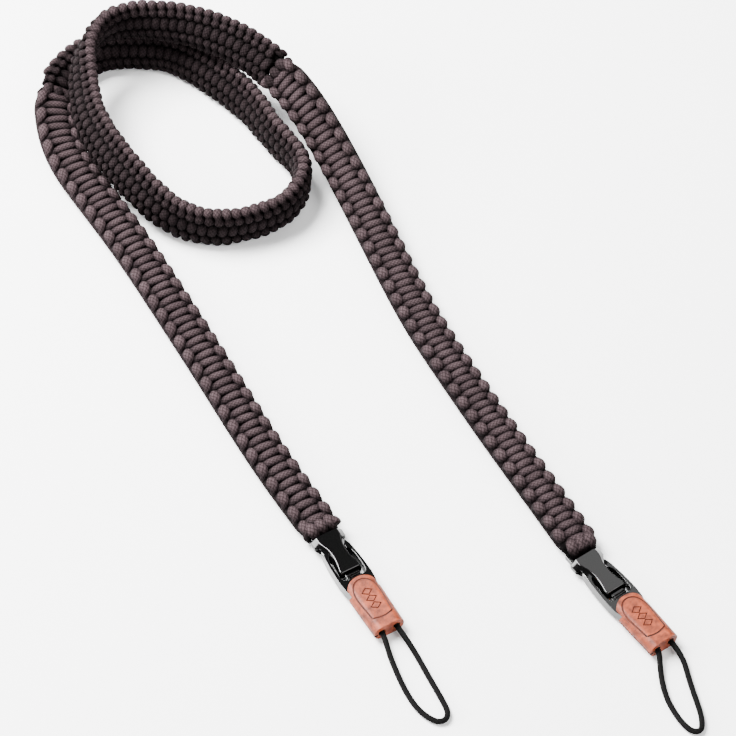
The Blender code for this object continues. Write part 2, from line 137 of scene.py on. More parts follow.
def restHeight(width, thickness, corner, lean):
    turn = radians(lean)
    return (width / 2 - corner) * abs(cos(turn)) + (thickness / 2 - corner) * abs(sin(turn)) + corner


def legPoints(start, rows, run, bearing, width, lay):
    turn = radians(bearing)
    ahead = np.array([cos(turn), sin(turn)])
    leftward = np.array([-sin(turn), cos(turn)])
    points = []
    for along, aside, lift, lean in rows:
        x, y = start + run * (along * ahead + aside * leftward)
        high = lift * lay["legThickness"] + restHeight(width, lay["legThickness"], lay["legCorner"], lean)
        points.append((x, y, high, lean))
    return points


def bandRoute(lay):
    coil = []
    for across, deep, lift, lean in lay["coilRows"]:
        high = restHeight(lay["neckWidth"] + lay["neckEdge"], lay["neckThickness"], lay["neckCorner"], lean)
        coil.append((
            lay["coilAcross"] + across * lay["coilRadius"], lay["coilDeep"] + deep * lay["coilRadius"],
            lift * lay["neckWidth"] + high, lean,
        ))
    right = legPoints(np.array(coil[0][:2]), lay["rightLegRows"], lay["rightLegRun"],
                      lay["rightLegBearing"], lay["rightLegWidth"], lay)
    left = legPoints(np.array(coil[-1][:2]), lay["leftLegRows"], lay["leftLegRun"],
                     lay["leftLegBearing"], lay["leftLegWidth"], lay)
    return right[::-1] + coil + left


def bandGuide(lay):
    # middle line of the band, every half millimetre, with its two cross directions
    points, along = evenPoints(bandRoute(lay), 0.5 * mm)
    tangent = np.gradient(points[:, :3], along, axis=0)
    tangent /= np.linalg.norm(tangent, axis=1)[:, None]
    lean = np.radians(points[:, 3:4])
    outward = np.stack([tangent[:, 1], -tangent[:, 0], np.zeros(len(tangent))], -1)
    outward /= np.linalg.norm(outward, axis=1)[:, None]
    across = np.cos(lean) * np.array([0, 0, 1.0]) + np.sin(lean) * outward
    across -= (across * tangent).sum(1)[:, None] * tangent
    across /= np.linalg.norm(across, axis=1)[:, None]
    through = np.cross(across, tangent)
    centre = points[:, :3] + np.array(lay["place"])
    return along, np.hstack([centre, tangent, across, through])


guideAlong, guideRows = bandGuide(strapLay)
bandLength = guideAlong[-1]


def onBand(local):
    # distance along, across and through the band, turned into places in the frame
    local = np.asarray(local, float)
    rows = np.stack([np.interp(local[:, 0], guideAlong, column) for column in guideRows.T], -1)
    beyond = local[:, 0] - np.clip(local[:, 0], 0, bandLength)
    return (rows[:, :3] + beyond[:, None] * rows[:, 3:6]
            + local[:, 1:2] * rows[:, 6:9] + local[:, 2:3] * rows[:, 9:12])


def sweep(path, radius, sides, outward=None, wide=1.0, flat=1.0):
    # a closed tube along even points, pressed flat where outward is given: its corners ring by ring,
    # its faces, and for each face corner the sheath's map in millimetres along and turns around
    path = np.asarray(path, float)
    tangent = np.gradient(path, axis=0)
    tangent /= np.linalg.norm(tangent, axis=1)[:, None]
    normal = np.cross(tangent[0], (0.31, 0.42, 0.85))
    normal /= np.linalg.norm(normal)
    normals = [normal]
    for i in range(1, len(path)):
        normal = normals[-1] - (normals[-1] @ tangent[i]) * tangent[i]
        normals.append(normal / np.linalg.norm(normal))
    normals = np.array(normals)
    side = np.cross(tangent, normals)
    turns = np.linspace(0, 2 * pi, sides, endpoint=False)
    spokes = np.cos(turns)[None, :, None] * normals[:, None] + np.sin(turns)[None, :, None] * side[:, None]
    if outward is not None:
        outward = outward - (outward * tangent).sum(1)[:, None] * tangent
        outward /= np.linalg.norm(outward, axis=1)[:, None]
        aside = np.cross(tangent, outward)
        spokes = (spokes + (wide - 1) * (spokes * aside[:, None]).sum(2)[:, :, None] * aside[:, None]
                  + (flat - 1) * (spokes * outward[:, None]).sum(2)[:, :, None] * outward[:, None])
    radii = np.broadcast_to(np.asarray(radius, float), (len(path),))[:, None, None]
    corners = (path[:, None] + radii * spokes).reshape(-1, 3)
    count = len(path)
    i, j = np.meshgrid(np.arange(count - 1), np.arange(sides), indexing="ij")
    i, j = i.ravel(), j.ravel()
    k = (j + 1) % sides
    faces = np.stack([i * sides + j, i * sides + k, (i + 1) * sides + k, (i + 1) * sides + j], -1)
    run = np.r_[0, np.cumsum(np.linalg.norm(np.diff(path, axis=0), axis=1))] / mm
    round0, round1 = j / sides, (j + 1) / sides
    maps = np.stack([
        np.stack([run[i], round0], -1), np.stack([run[i], round1], -1),
        np.stack([run[i + 1], round1], -1), np.stack([run[i + 1], round0], -1)], 1)
    return {"corners": corners, "faces": faces, "maps": maps, "sides": sides,
            "light": np.ones(len(corners))}


# light in the weave, by the share of the way from the band's middle (0) to its skin (1)
weaveLight = {"darkUpTo": 0.66, "rise": 0.36, "curve": 1.5}


def bandTube(rows, step, sides, wide, flat, halfWidth, halfThickness, shading=lambda v, w: 1.0):
    # a cord laid on the band from rows of metres along and millimetres across, through and radius;
    # the inner parts of the weave get less light
    rows = np.asarray(rows, float)
    local = np.stack([rows[:, 0], rows[:, 1] * mm, rows[:, 2] * mm], -1)
    points, _ = evenPoints(np.hstack([onBand(local), rows[:, [0, 3]]]), step * mm)
    guide = np.stack([np.interp(points[:, 3], guideAlong, column) for column in guideRows.T], -1)
    centre, across, through = guide[:, :3], guide[:, 6:9], guide[:, 9:12]
    offset = points[:, :3] - centre
    v = (offset * across).sum(1)[:, None] / (halfWidth * mm)
    w = (offset * through).sum(1)[:, None] / (halfThickness * mm)
    outward = v**3 * across / halfWidth + w**3 * through / halfThickness + 1e-6 * across
    tube = sweep(points[:, :3], points[:, 4] * mm, sides, outward, wide, flat)
    offset = tube["corners"].reshape(-1, sides, 3) - centre[:, None]
    v = (offset * across[:, None]).sum(2) / (halfWidth * mm)
    w = (offset * through[:, None]).sum(2) / (halfThickness * mm)
    # painted light and shade for the colour: less light towards the band's middle, times the shading given
    out = (v**4 + w**4) ** 0.25
    light = np.clip((out - weaveLight["darkUpTo"]) / weaveLight["rise"], 0, 1) ** weaveLight["curve"]
    tube["light"] = (light * shading(v, w)).ravel()
    return tube


def tubesObject(name, tubes, material):
    # one mesh of several closed tubes
    corners, faces, maps, light = [], [], [], []
    start = 0
    for tube in tubes:
        sides, count = tube["sides"], len(tube["corners"])
        corners.append(tube["corners"])
        light.append(tube["light"])
        faces += (tube["faces"] + start).tolist()
        maps.append(tube["maps"].reshape(-1, 2))
        faces.append(list(range(start + sides - 1, start - 1, -1)))
        faces.append(list(range(start + count - sides, start + count)))
        maps.append(np.zeros((2 * sides, 2)))
        start += count
    mesh = bpy.data.meshes.new(name)
    mesh.from_pydata(np.vstack(corners).tolist(), [], faces)
    uv = mesh.uv_layers.new(name="sheath")
    uv.data.foreach_set("uv", np.vstack(maps).astype(np.float32).ravel())
    paintedLight = mesh.attributes.new("paintedLight", "FLOAT", "POINT")
    paintedLight.data.foreach_set("value", np.concatenate(light).astype(np.float32))
    mesh.polygons.foreach_set("use_smooth", [True] * len(mesh.polygons))
    mesh.materials.append(material)
    obj = bpy.data.objects.new(name, mesh)
    bpy.context.scene.collection.objects.link(obj)
    return obj


# Materials


def linearColour(hexValue):
    shares = [int(hexValue[i:i + 2], 16) / 255 for i in (1, 3, 5)]
    return tuple(c / 12.92 if c <= 0.04045 else ((c + 0.055) / 1.055) ** 2.4 for c in shares) + (1.0,)


def addNode(tree, kind, values=None, links=None, **settings):
    node = tree.nodes.new(kind)
    for key, value in settings.items():
        setattr(node, key, value)
    for socket, value in (values or {}).items():
        node.inputs[socket].default_value = value
    for socket, source in (links or {}).items():
        tree.links.new(source, node.inputs[socket])
    return node


def newMaterial(name, **shaderValues):
    made = bpy.data.materials.new(name)
    made.use_nodes = True
    shader = made.node_tree.nodes["Principled BSDF"]
    for socket, value in shaderValues.items():
        shader.inputs[socket.replace("_", " ")].default_value = value
    return made, made.node_tree, shader


cordLook = {
    # hollow: the share of the colour left by the painted shade where the weave is deepest
    "light": "#392f31", "dark": "#181112", "hollow": 0.03, "sheen": 0.05, "gleam": 0.03,
    "pickLength": 1.7,  # mm of cord to one crossing of the sheath's threads, drawn a little coarse to show
    "picksAround": 8,
    "bumpDepth": 0.22, "patch": 6.25,  # mm
}


def wovenNylon(look, name):
    # braided sheath: dull and soft, crossed by fine slanting threads, with painted shade where the weave is
    # deep
    made, tree, shader = newMaterial(name, Roughness=0.8, IOR=1.42, Specular_IOR_Level=look["gleam"],
                                     Sheen_Weight=look["sheen"], Sheen_Roughness=0.5,
                                     Sheen_Tint=linearColour(look["light"]))
    uvMap = addNode(tree, "ShaderNodeUVMap", uv_map="sheath")
    picks = addNode(tree, "ShaderNodeVectorMath", {1: (1 / look["pickLength"], look["picksAround"], 0)},
                    {0: uvMap.outputs[0]}, operation="MULTIPLY")
    split = addNode(tree, "ShaderNodeSeparateXYZ", links={0: picks.outputs[0]})
    rounds, floors = [], []
    for way in ("ADD", "SUBTRACT"):
        ply = addNode(tree, "ShaderNodeMath", links={0: split.outputs[0], 1: split.outputs[1]}, operation=way)
        floors.append(addNode(tree, "ShaderNodeMath", links={0: ply.outputs[0]}, operation="FLOOR"))
        part = addNode(tree, "ShaderNodeMath", links={0: ply.outputs[0]}, operation="FRACT")
        turn = addNode(tree, "ShaderNodeMath", {1: pi}, {0: part.outputs[0]}, operation="MULTIPLY")
        rounds.append(addNode(tree, "ShaderNodeMath", links={0: turn.outputs[0]}, operation="SINE"))
    cells = addNode(tree, "ShaderNodeMath", links={0: floors[0].outputs[0], 1: floors[1].outputs[0]},
                    operation="ADD")
    onTop = addNode(tree, "ShaderNodeMath", {1: 1.0}, {0: cells.outputs[0]}, operation="PINGPONG")
    height = addNode(tree, "ShaderNodeMix", links={0: onTop.outputs[0], 2: rounds[0].outputs[0],
                                                   3: rounds[1].outputs[0]})
    place = addNode(tree, "ShaderNodeTexCoord")
    patches = addNode(tree, "ShaderNodeTexNoise", {"Scale": 1 / (look["patch"] * mm), "Detail": 2.0},
                      {0: place.outputs["Object"]})
    tone = addNode(tree, "ShaderNodeMix", {6: linearColour(look["dark"]), 7: linearColour(look["light"])},
                   {0: height.outputs[0]}, data_type="RGBA")
    # painted shade: the colour is darkened by the mesh's attribute of painted light, down to the share hollow
    # where it is least
    paintedLight = addNode(tree, "ShaderNodeAttribute", attribute_name="paintedLight")
    deep = addNode(tree, "ShaderNodeMapRange", {3: look["hollow"], 4: 1.0}, {0: paintedLight.outputs["Fac"]})
    vary = addNode(tree, "ShaderNodeMapRange", {1: 0.3, 2: 0.7, 3: 0.8, 4: 1.2}, {0: patches.outputs[0]})
    both = addNode(tree, "ShaderNodeMath", links={0: deep.outputs[0], 1: vary.outputs[0]},
                   operation="MULTIPLY")
    shade = addNode(tree, "ShaderNodeVectorMath", links={0: tone.outputs[2], 1: both.outputs[0]},
                    operation="MULTIPLY")
    bump = addNode(tree, "ShaderNodeBump", {"Strength": 0.7, "Distance": look["bumpDepth"] * mm},
                   {"Height": height.outputs[0]})
    tree.links.new(shade.outputs[0], shader.inputs["Base Color"])
    tree.links.new(bump.outputs[0], shader.inputs["Normal"])
    return made


paracord = wovenNylon(cordLook, "paracord, braided nylon")

# The cord loops, each made in its buckle's own axes

# shift: mm from the band's end, as the right buckle lies in the photo; bearing: degrees
ends = {
    "left": {"bandAt": bandLength, "shift": (0.0, 0.0), "bearing": -60.0},
    "right": {"bandAt": 0.0, "shift": (-0.621, -1.945), "bearing": -54.5},
}
loopPlan = {
    "diameter": 2.5, "spacing": 7.2, "inset": 8.0, "leaves": 55.5, "holes": 4.0, "rest": 1.3,  # mm
    "out": 0.3, "step": 1.2, "sides": 14,
    # along and across: shares of the loop's reach beyond its sleeve; high: 0 on the surface, 1 at the holes
    "left": {"reach": 48.8, "rows": (
        (0.195, -0.115, 0.32), (0.369, -0.148, 0.0), (0.533, -0.174, 0.0), (0.680, -0.184, 0.0),
        (0.816, -0.174, 0.0), (0.922, -0.139, 0.0), (0.990, -0.088, 0.0), (1.0, -0.029, 0.0),
        (0.953, 0.020, 0.0), (0.891, 0.037, 0.0), (0.758, 0.051, 0.0), (0.584, 0.064, 0.0),
        (0.369, 0.082, 0.0), (0.195, 0.086, 0.36))},
    "right": {"reach": 40.0, "rows": (
        (0.1375, -0.16, 0.32), (0.25, -0.2325, 0.0), (0.375, -0.3025, 0.0), (0.50, -0.355, 0.0),
        (0.6325, -0.39, 0.0), (0.7725, -0.41, 0.0), (0.8875, -0.4075, 0.0), (0.975, -0.375, 0.0),
        (1.0, -0.32, 0.0), (0.965, -0.2675, 0.0), (0.8725, -0.2025, 0.0), (0.7725, -0.155, 0.0),
        (0.5925, -0.08, 0.0), (0.385, 0.0125, 0.0), (0.2225, 0.075, 0.36))},
}
# hollow: the share of the colour left by the painted shade where the weave is deepest
loopLook = {"light": "#0d0c0c", "dark": "#030303", "hollow": 0.6, "sheen": 0.0, "gleam": 0.06,
            "pickLength": 1.5, "picksAround": 5, "bumpDepth": 0.16, "patch": 6.25}
blackCord = wovenNylon(loopLook, "loop cord, braided polyester")


def bandEnd(plan):
    # where a buckle's own axes start: at the band's end, at the height of the sleeve's holes
    x, y = onBand([[plan["bandAt"], 0, 0]])[0, :2] + np.array(plan["shift"]) * mm
    z = strapLay["place"][2] + loopPlan["holes"] * mm
    return tuple(round(float(v), 6) for v in (x, y, z))


def makeLoop(side, plan, end):
    own = plan[side]
    half, holes, rest = plan["spacing"] / 2, plan["holes"], plan["rest"]
    inside = (plan["leaves"] - plan["inset"], plan["leaves"] + plan["out"])
    rows = [(x, -half, holes) for x in inside]
    rows += [(plan["leaves"] + along * own["reach"], across * own["reach"], rest + high * (holes - rest))
             for along, across, high in own["rows"]]
    rows += [(x, half, holes) for x in reversed(inside)]
    turn = radians(end["bearing"])
    points, along = evenPoints(np.array(rows) * mm, plan["step"] * mm)
    x, y, z = end["place"]
    route = np.stack([x + points[:, 0] * cos(turn) - points[:, 1] * sin(turn),
                      y + points[:, 0] * sin(turn) + points[:, 1] * cos(turn),
                      z + points[:, 2] - holes * mm], -1)
    loop = tubesObject(side + "_loop", [sweep(route, plan["diameter"] / 2 * mm, plan["sides"])], blackCord)
    exitAt = route[np.argmin(abs(along - plan["inset"] * mm))]
    return loop, route, float(along[-1]), tuple(float(v) for v in exitAt)


for side, end in ends.items():
    end["place"] = bandEnd(end)
    loop, route, length, exitAt = makeLoop(side, loopPlan, end)
    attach(loop, "root")
    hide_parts(side + "_cord_loop")
    print("loop", side, "length", round(length, 4))
print("stage: loops")

# The legs: a cobra weave of two cords round their core cords

legWeave = {
    "sides": 12, "step": 1.3, "wide": 1.12, "flat": 0.9,
    "halfWidth": 10.7, "halfThickness": 4.6,  # mm, the sizes that the rows are given for
    "leftPitch": 4.56, "rightPitch": 4.22,  # mm from bar to bar, about
    # front cord, over two bars: pitches along, mm across, mm through, mm radius
    "frontCord": (
        (-0.10, -5.4, 1.8, 1.9), (-0.05, -2.7, 2.75, 2.05), (0.0, 0.0, 2.9, 2.05), (0.05, 2.7, 2.75, 2.05),
        (0.10, 5.4, 1.8, 1.9), (0.22, 7.2, 0.3, 1.8), (0.50, 8.2, -0.5, 1.7), (0.78, 7.2, 0.3, 1.8),
        (0.92, 5.4, 1.8, 1.9), (0.97, 2.7, 2.75, 2.05), (1.0, 0.0, 2.9, 2.05), (1.03, -2.7, 2.75, 2.05),
        (1.06, -5.4, 1.8, 1.9), (1.22, -7.2, 0.3, 1.8), (1.50, -8.2, -0.5, 1.7), (1.78, -7.2, 0.3, 1.8),
    ),
    # edge cord, over two bars: it makes the blocks along both edges and the bars at the back
    "edgeCord": (
        (0.64, 6.0, -0.4, 1.6), (0.74, 7.1, 1.7, 2.0), (1.0, 7.5, 2.75, 2.3), (1.5, 7.6, 2.75, 2.3),
        (1.78, 8.0, 1.8, 2.05), (1.92, 8.7, -0.4, 1.6),
        (2.0, 7.2, -2.5, 1.8), (1.97, 4.0, -2.8, 1.9), (1.9, 0.0, -2.85, 1.9), (1.8, -4.0, -2.7, 1.9),
        (1.70, -5.6, -2.0, 1.7),
        (1.64, -6.0, -0.4, 1.6), (1.74, -7.1, 1.7, 2.0), (2.0, -7.5, 2.75, 2.3), (2.5, -7.6, 2.75, 2.3),
        (2.78, -8.0, 1.8, 2.05), (2.92, -8.7, -0.4, 1.6),
        (3.0, -7.2, -2.5, 1.8), (2.97, -4.0, -2.8, 1.9), (2.9, 0.0, -2.85, 1.9), (2.8, 4.0, -2.7, 1.9),
        (2.70, 5.6, -2.0, 1.7),
    ),
    # cords that run inside the weave, the outer two low in its edges: mm across, mm through, mm radius
    "cores": ((-8.8, -1.3, 1.5), (-7.3, 0.0, 1.55), (-4.8, 0.0, 1.55), (-1.6, 0.0, 1.55),
              (1.6, 0.0, 1.55), (4.8, 0.0, 1.55), (7.3, 0.0, 1.55), (8.8, -1.3, 1.5)),
    "coreSides": 8, "coreStep": 4.0, "coreInset": 2.0, "coreTaper": 9.0, "coreTip": 0.3, "coreDraw": 0.3,
    "endRoom": 0.3, "firstBar": 0.4,  # mm, and a share of the pitch
    "shade": 0.35, "shadeFrom": -0.35, "shadeOver": 0.75,  # light below, and where it rises to full
    # the last turns at each end of a leg: mm from the end, mm across, mm through, mm radius
    "lobesAcross": (-5.3, 0.0, 5.3),
    "lobe": ((6.5, 0.8, 2.0, 1.9), (4.6, 0.3, 3.2, 2.2), (2.6, 0.0, 3.3, 2.5), (1.3, -0.2, 1.5, 2.4),
             (1.2, -0.2, -1.5, 2.3), (2.6, 0.0, -3.0, 2.2), (5.5, 0.6, -2.4, 1.9)),
}


def legShade(v, w):
    # the lower half of a leg lies in its own shade
    lit = np.clip((w - legWeave["shadeFrom"]) / legWeave["shadeOver"], 0, 1)
    return legWeave["shade"] + (1 - legWeave["shade"]) * lit


edgeLight = {"shade": 0.3, "from": 0.35, "over": 0.6, "curve": 1.5}


def neckShade(v, w):
    # the neck stands on its edge, so that its upper edge gets the most light
    lit = np.clip((v - edgeLight["from"]) / edgeLight["over"], 0, 1) ** edgeLight["curve"]
    return edgeLight["shade"] + (1 - edgeLight["shade"]) * lit


def legTubes(begin, end, widths, pitch, plan):
    def narrowed(rows):
        rows = np.array(rows)
        rows[:, 1] *= np.interp(rows[:, 0], (begin, end), widths) / 2 / mm / plan["halfWidth"]
        return rows

    profile = (plan["wide"], plan["flat"], plan["halfWidth"], plan["halfThickness"])
    room = (end - begin) / mm - 2 * plan["endRoom"]
    knots = round(room / pitch / 2)
    pitch = room / (2 * knots + 1)
    first = begin + (plan["endRoom"] + plan["firstBar"] * pitch) * mm
    tubes = []
    for cord in ("frontCord", "edgeCord"):
        rows = []
        for knot in range(knots):
            for along, across, through, radius in plan[cord]:
                rows.append((first + (2 * knot + along) * pitch * mm, across, through, radius))
        rows = [row for row in rows if row[0] < end - plan["endRoom"] * mm]
        tubes.append(bandTube(narrowed(rows), plan["step"], plan["sides"], *profile, legShade))
    for tip, way in ((begin, 1), (end, -1)):
        shading = legShade if tip in (0.0, bandLength) else neckShade
        for across in plan["lobesAcross"]:
            rows = [(tip + way * along * mm, across + sway, through, radius)
                    for along, sway, through, radius in plan["lobe"]]
            tubes.append(bandTube(narrowed(rows), plan["step"], plan["sides"], *profile, shading))
    inset, taper, tip = plan["coreInset"] * mm, plan["coreTaper"] * mm, plan["coreTip"]
    stations = np.linspace(begin + inset, end - inset, int((end - begin) / plan["coreStep"] / mm))
    slim = np.interp(stations, (begin, begin + taper, end - taper, end), (tip, 1.0, 1.0, tip))
    drawn = 1 - plan["coreDraw"] * (1 - slim)
    for across, through, radius in plan["cores"]:
        core = np.stack([stations, across * drawn, np.full(len(slim), through), radius * slim], -1)
        tubes.append(bandTube(narrowed(core), plan["coreStep"], plan["coreSides"], *profile, legShade))
    return tubes


# the legs' weave reaches a little past the ends of their solids, where the band begins to stand on its edge
joinReach = {"right": 6.0, "left": 11.0}  # mm
rightJoin = strapLay["rightBraid"] + joinReach["right"] * mm
leftJoin = strapLay["rightBraid"] + strapLay["neckBraid"] - joinReach["left"] * mm
rightLeg = tubesObject("right_leg_cords", legTubes(
    0.0, rightJoin, (strapLay["rightEndWidth"], strapLay["rightLegWidth"]),
    legWeave["rightPitch"], legWeave), paracord)
leftLeg = tubesObject("left_leg_cords", legTubes(
    leftJoin, bandLength, (strapLay["leftLegWidth"], strapLay["leftEndWidth"]),
    legWeave["leftPitch"], legWeave), paracord)
for piece, node in ((rightLeg, "right_leg_braid"), (leftLeg, "left_leg_braid")):
    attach(piece, "root")
    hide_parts(node)
print("stage: legs", len(rightLeg.data.polygons), len(leftLeg.data.polygons))

# The neck: two cords woven over and under core cords

neckWeave = {
    "sides": 12, "step": 1.3, "pitch": 4.5,  # mm
    "wide": 1.22, "flat": 0.82, "halfWidth": 10.4, "halfThickness": 4.4,
    # one row, edge to edge: share of the row along, mm across, mm through, mm radius
    "overRow": (
        (0.0, -8.9, 0.0, 2.0), (0.05, -8.6, 1.7, 1.85), (0.10, -7.35, 1.9, 1.15), (0.16, -6.0, 2.85, 1.95),
        (0.24, -4.6, 2.5, 1.9), (0.31, -3.6, 0.0, 1.3), (0.38, -2.6, -2.3, 1.8), (0.5, 0.0, -2.95, 2.0),
        (0.62, 2.6, -2.3, 1.8), (0.69, 3.6, 0.0, 1.3), (0.76, 4.6, 2.5, 1.9), (0.84, 6.0, 2.85, 1.95),
        (0.90, 7.35, 1.9, 1.15), (0.95, 8.6, 1.7, 1.85),
    ),
    "coreAcross": (-7.4, -5.0, -1.8, 1.8, 5.0, 7.4), "coreRadius": 1.5, "coreSides": 8, "coreStep": 4.0,
}


def neckTubes(begin, end, plan):
    profile = (plan["wide"], plan["flat"], plan["halfWidth"], plan["halfThickness"])
    rowCount = int((end - begin) / mm / plan["pitch"])
    spare = (end - begin - rowCount * plan["pitch"] * mm) / 2
    tubes = []
    for first in (0, 1):
        rows = []
        for row in range(rowCount):
            back = -1 if (row + first) % 2 else 1
            for share, across, through, radius in plan["overRow"]:
                rows.append((begin + spare + (row + share) * plan["pitch"] * mm,
                             back * across, back * through, radius))
        tubes.append(bandTube(rows, plan["step"], plan["sides"], *profile, neckShade))
    stations = np.linspace(begin, end, int((end - begin) / plan["coreStep"] / mm))
    for across in plan["coreAcross"]:
        core = [(station, across, 0.0, plan["coreRadius"]) for station in stations]
        tubes.append(bandTube(core, plan["coreStep"], plan["coreSides"], *profile))
    return tubes


neck = tubesObject("neck_cords", neckTubes(rightJoin, leftJoin, neckWeave), paracord)
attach(neck, "root")
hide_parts("neck_braid")
print("stage: neck", len(neck.data.polygons))

# The two ends: buckles and leather sleeves, each made in its buckle's own axes


def deselectAll():
    if bpy.context.object and bpy.context.object.mode != "OBJECT":
        bpy.ops.object.mode_set(mode="OBJECT")
    bpy.ops.object.select_all(action="DESELECT")


def selectOnly(obj):
    deselectAll()
    obj.select_set(True)
    bpy.context.view_layer.objects.active = obj


def layered(name, levels, material=None):
    # a filled circle with as many corners as the outlines, pulled up level by level, and its corners
    # moved to each level's outline; levels are pairs of a height and an outline, in millimetres
    deselectAll()
    height, outline = levels[0]
    bpy.ops.mesh.primitive_circle_add(vertices=len(outline), radius=0.01, fill_type="NGON")
    obj = bpy.context.object
    obj.name = name
    for corner, (x, y) in zip(obj.data.vertices, outline):
        corner.co = (x * mm, y * mm, height * mm)
    bpy.ops.object.mode_set(mode="EDIT")
    bpy.ops.mesh.select_all(action="SELECT")
    for above, wanted in levels[1:]:
        bpy.ops.mesh.extrude_region_move(TRANSFORM_OT_translate={"value": (0, 0, (above - height) * mm)})
        bpy.ops.object.mode_set(mode="OBJECT")
        before = np.array(outline) * mm
        for corner in obj.data.vertices:
            if corner.select:
                nearest = np.argmin(np.hypot(*(before - np.array(corner.co[:2])).T))
                corner.co.x, corner.co.y = wanted[nearest][0] * mm, wanted[nearest][1] * mm
        bpy.ops.object.mode_set(mode="EDIT")
        height, outline = above, wanted
    bpy.ops.mesh.select_all(action="SELECT")
    bpy.ops.mesh.normals_make_consistent(inside=False)
    bpy.ops.object.mode_set(mode="OBJECT")
    if material:
        obj.data.materials.append(material)
    return obj


def plate(name, outline, low, high, material=None):
    return layered(name, [(low, outline), (high, outline)], material)


def block(name, low, high, rounding=0.0, material=None):
    # a box between two corners in millimetres, its edges rounded
    deselectAll()
    middle = [(a + b) / 2 * mm for a, b in zip(low, high)]
    bpy.ops.mesh.primitive_cube_add(size=1.0, location=middle)
    obj = bpy.context.object
    obj.name = name
    obj.scale = [(b - a) * mm for a, b in zip(low, high)]
    bpy.ops.object.transform_apply(location=True, rotation=True, scale=True)
    if rounding:
        roundEdges(obj, rounding, 3, 30)
    if material:
        obj.data.materials.append(material)
    return obj


def applyModifier(obj, kind, **settings):
    selectOnly(obj)
    modifier = obj.modifiers.new(kind.lower(), kind)
    for key, value in settings.items():
        setattr(modifier, key, value)
    bpy.ops.object.modifier_apply(modifier=modifier.name)


def roundEdges(obj, width, segments, angle):
    applyModifier(obj, "BEVEL", width=width * mm, segments=segments, limit_method="ANGLE",
                  angle_limit=radians(angle), harden_normals=False)


def combine(obj, other, operation):
    applyModifier(obj, "BOOLEAN", operation=operation, solver="EXACT", object=other,
                  material_mode="TRANSFER")
    bpy.data.objects.remove(other)


def smoothBy(obj, angle):
    selectOnly(obj)
    bpy.ops.object.shade_smooth_by_angle(angle=radians(angle))
    applyModifier(obj, "WEIGHTED_NORMAL", keep_sharp=True)


def bothSides(half):
    # a closed outline from one half of it, given with y above zero
    return list(half) + [(x, -y) for x, y in reversed(half)]


def settle(obj, end):
    # from the buckle's own axes to the piece's place in the frame
    selectOnly(obj)
    obj.location = end["place"]
    obj.rotation_euler = (0, 0, radians(end["bearing"]))
    bpy.ops.object.transform_apply(location=True, rotation=True, scale=True)


plasticLook = {"face": "#030303", "peel": 1.111, "peelDepth": 0.02}  # mm


def mouldedAcetal(look, name):
    # injection moulded acetal: black, polished by its mould, with a faint orange peel in the gloss
    made, tree, shader = newMaterial(name, Roughness=0.1, IOR=1.45)
    shader.inputs["Base Color"].default_value = linearColour(look["face"])
    place = addNode(tree, "ShaderNodeTexCoord")
    peel = addNode(tree, "ShaderNodeTexNoise", {"Scale": 1 / (look["peel"] * mm), "Detail": 1.0},
                   {0: place.outputs["Object"]})
    bump = addNode(tree, "ShaderNodeBump", {"Strength": 0.25, "Distance": look["peelDepth"] * mm},
                   {"Height": peel.outputs[0]})
    tree.links.new(bump.outputs[0], shader.inputs["Normal"])
    return made


acetal = mouldedAcetal(plasticLook, "acetal, injection moulded")

socketPlan = {
    # half outlines from above, of the narrower faces and of the waist between them: along, across, in mm
    "face": (
        (0.6, 4.8), (1.6, 5.3), (4.0, 5.2), (6.0, 4.6), (8.0, 3.9), (10.0, 3.5), (12.5, 3.3), (15.5, 3.5),
        (18.5, 4.1), (21.0, 4.7), (22.0, 4.7), (22.4, 4.3),
    ),
    "middle": (
        (0.2, 7.2), (1.3, 7.75), (4.3, 7.7), (6.8, 6.9), (8.6, 5.9), (10.4, 5.1), (13.0, 4.8), (16.0, 4.8),
        (19.0, 5.0), (21.5, 5.3), (22.8, 5.2), (23.4, 4.7),
    ),
    "thickness": 6.6, "middleThickness": 2.0, "rounding": 0.35,
    "mouth": ((12.7, -3.8, -2.0), (24.5, 3.8, 2.0)),
    "window": ((4.4, 4.0, -2.2), (12.6, 10.5, 2.0)), "windowRounding": 1.8,
    "bar": ((1.0, 6.6), (-5.0, 6.6)), "barBreadth": 1.6, "barThickness": 2.6, "barCorner": 0.8,
    "barRounding": 0.4,
}


def makeSocket(side, plan, end):
    half, middle = plan["thickness"] / 2, plan["middleThickness"] / 2
    face, waist = bothSides(plan["face"]), bothSides(plan["middle"])
    levels = [(-half, face), (-middle, waist), (middle, waist), (half, face)]
    socket = layered(side + "_socket", levels, acetal)
    roundEdges(socket, plan["rounding"], 3, 25)
    (x0, y0), (x1, y1) = plan["bar"]
    inner, deep, cut = y0 - plan["barBreadth"], x1 + plan["barBreadth"], plan["barCorner"]
    outline = [(x0, y0), (x1 + cut, y1), (x1, y1 - cut), (x1, cut - y1), (x1 + cut, -y1), (x0, -y0),
               (x0, -inner), (deep, -inner), (deep, inner), (x0, inner)]
    bar = plate("bar", outline, -plan["barThickness"] / 2, plan["barThickness"] / 2, acetal)
    roundEdges(bar, plan["barRounding"], 2, 40)
    combine(socket, bar, "UNION")
    combine(socket, block("mouth", *plan["mouth"], material=acetal), "DIFFERENCE")
    (ax, ay, az), (bx, by, bz) = plan["window"]
    for way in (1, -1):
        low, high = (ax, min(ay * way, by * way), az), (bx, max(ay * way, by * way), bz)
        combine(socket, block("window", low, high, plan["windowRounding"], acetal), "DIFFERENCE")
    smoothBy(socket, 30)
    settle(socket, end)
    return socket


